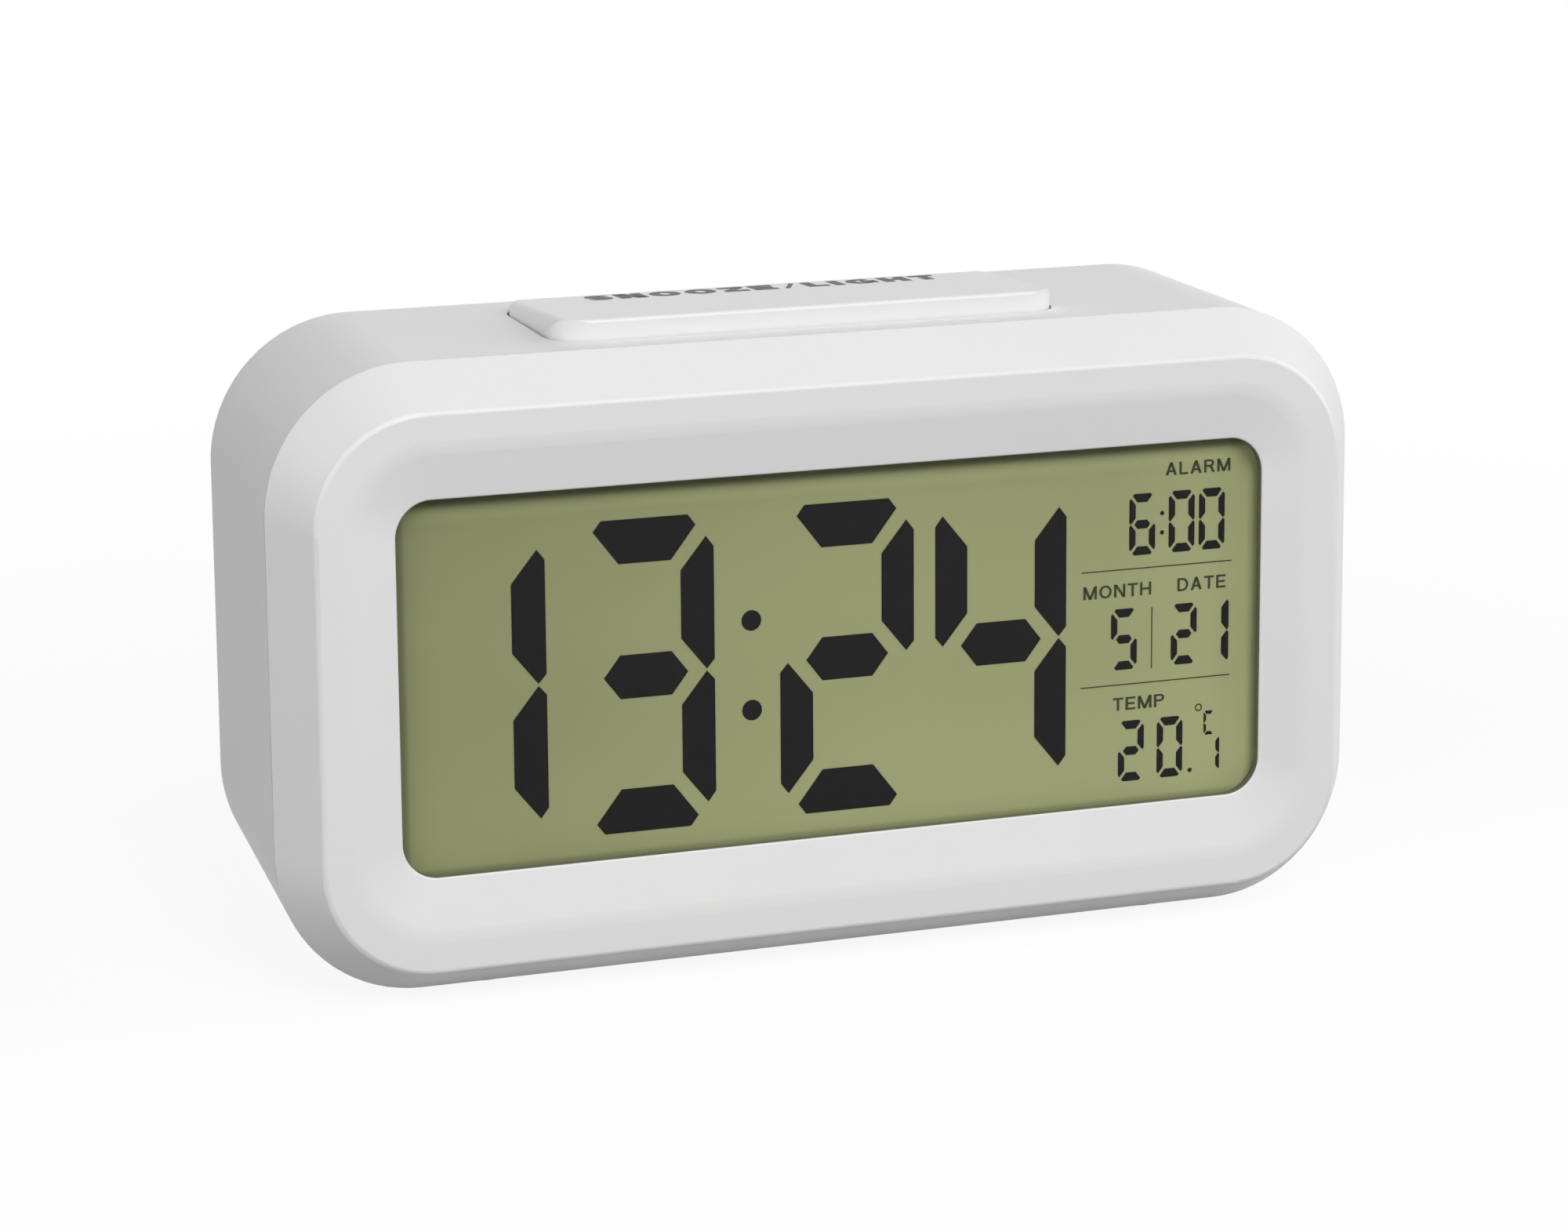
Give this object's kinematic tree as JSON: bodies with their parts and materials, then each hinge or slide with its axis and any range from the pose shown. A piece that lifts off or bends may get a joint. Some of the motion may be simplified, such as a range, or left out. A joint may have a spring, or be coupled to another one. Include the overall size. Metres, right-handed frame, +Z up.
{
  "type": "alarm clock",
  "caption": "Digital alarm clock in a rounded white case: leaning bevelled front, large segment display, snooze bar on top, set keys, alarm switch and battery door at the back.",
  "frame": {"origin": "on the table, under the middle of the clock's box", "axes": "+X to the viewer's right along the width, +Y to the back, +Z up"},
  "size_m": [0.135, 0.0437, 0.076],
  "materials": {
    "case_plastic": "satin moulded",
    "bar_plastic": "satin moulded",
    "clear_lens": "clear, polished",
    "black_foam": "closed-cell foam",
    "lcd_glass": "polarised, grey green",
    "clear_acrylic": "clear, polished",
    "white_film": "matt film",
    "led_resin": "clear resin",
    "striped_rubber": "layered",
    "white_plastic": "moulded",
    "circuit_board": "solder mask",
    "black_resin": "cast resin",
    "steel": "zinc plated",
    "black_plastic": "moulded",
    "key_plastic": "satin moulded",
    "brass": "rolled",
    "white_ceramic": "silvered",
    "spring_steel": "nickel plated",
    "battery_jacket": "plain printed jacket",
    "grey_rubber": "moulded",
    "red_sleeve": "soft sleeve",
    "black_sleeve": "soft sleeve",
    "grey_sleeve": "soft sleeve"
  },
  "bodies": {
    "case": {"alarm_switch": "steel", "backlight_leds": "led_resin", "black_battery_lead": "black_sleeve", "board_screws": "steel", "buzzer_ceramic": "white_ceramic", "buzzer_leads": "black_sleeve", "buzzer_plate": "brass", "case_screws": "steel", "chip_cover": "black_resin", "contact_strips": "striped_rubber", "display_gasket": "black_foam", "display_lens": "clear_lens", "front_bezel": "case_plastic", "key_board": "circuit_board", "key_board_screws": "steel", "key_ribbon": "grey_sleeve", "key_switches": "black_plastic", "lcd_holder": "white_plastic", "lcd_panel": "lcd_glass", "left_bridge_contact": "spring_steel", "light_guide": "clear_acrylic", "lower_battery": "battery_jacket", "lower_contact_spring": "spring_steel", "main_board": "circuit_board", "middle_battery": "battery_jacket", "middle_contact_spring": "spring_steel", "negative_contact": "spring_steel", "positive_contact": "spring_steel", "quartz_crystal": "steel", "rear_housing": "case_plastic", "red_battery_lead": "red_sleeve", "reflector_sheet": "white_film", "right_bridge_contact": "spring_steel", "rubber_feet": "grey_rubber", "snooze_board": "circuit_board", "snooze_leads": "black_sleeve", "snooze_screws": "steel", "snooze_switch": "black_plastic", "temperature_bead": "black_resin", "upper_battery": "battery_jacket", "upper_contact_spring": "spring_steel"},
    "snooze_bar": {"snooze_bar": "bar_plastic", "snooze_switch_stem": "black_plastic"},
    "alarm_switch_knob": {"alarm_switch_knob": "key_plastic"},
    "battery_door": {"battery_door": "case_plastic"},
    "set_key": {"set_key": "key_plastic", "set_key_stem": "black_plastic"},
    "up_key": {"up_key": "key_plastic", "up_key_stem": "black_plastic"},
    "down_key": {"down_key": "key_plastic", "down_key_stem": "black_plastic"},
    "alarm_key": {"alarm_key": "key_plastic", "alarm_key_stem": "black_plastic"}
  },
  "joints": [
    {"name": "snooze_press", "type": "slide", "parent": "case", "child": "snooze_bar", "axis": [0, 0, -1], "range_m": [0, 0.001], "stiffness_N_per_m": 500, "springref_m": -0.001},
    {"name": "set_press", "type": "slide", "parent": "case", "child": "set_key", "axis": [0, -0.9986, 0.0523], "range_m": [0, 0.0005], "stiffness_N_per_m": 800, "springref_m": -0.001},
    {"name": "up_press", "type": "slide", "parent": "case", "child": "up_key", "axis": [0, -0.9986, 0.0523], "range_m": [0, 0.0005], "stiffness_N_per_m": 800, "springref_m": -0.001},
    {"name": "down_press", "type": "slide", "parent": "case", "child": "down_key", "axis": [0, -0.9986, 0.0523], "range_m": [0, 0.0005], "stiffness_N_per_m": 800, "springref_m": -0.001},
    {"name": "alarm_press", "type": "slide", "parent": "case", "child": "alarm_key", "axis": [0, -0.9986, 0.0523], "range_m": [0, 0.0005], "stiffness_N_per_m": 800, "springref_m": -0.001},
    {"name": "alarm_slide", "type": "slide", "parent": "case", "child": "alarm_switch_knob", "axis": [1, 0, 0], "range_m": [0, 0.003]},
    {"name": "battery_door_hinge", "type": "hinge", "parent": "case", "child": "battery_door", "pos_m": [0, 0.01826, 0.01125], "axis": [-1, 0, 0], "range_deg": [0, 75]}
  ]
}
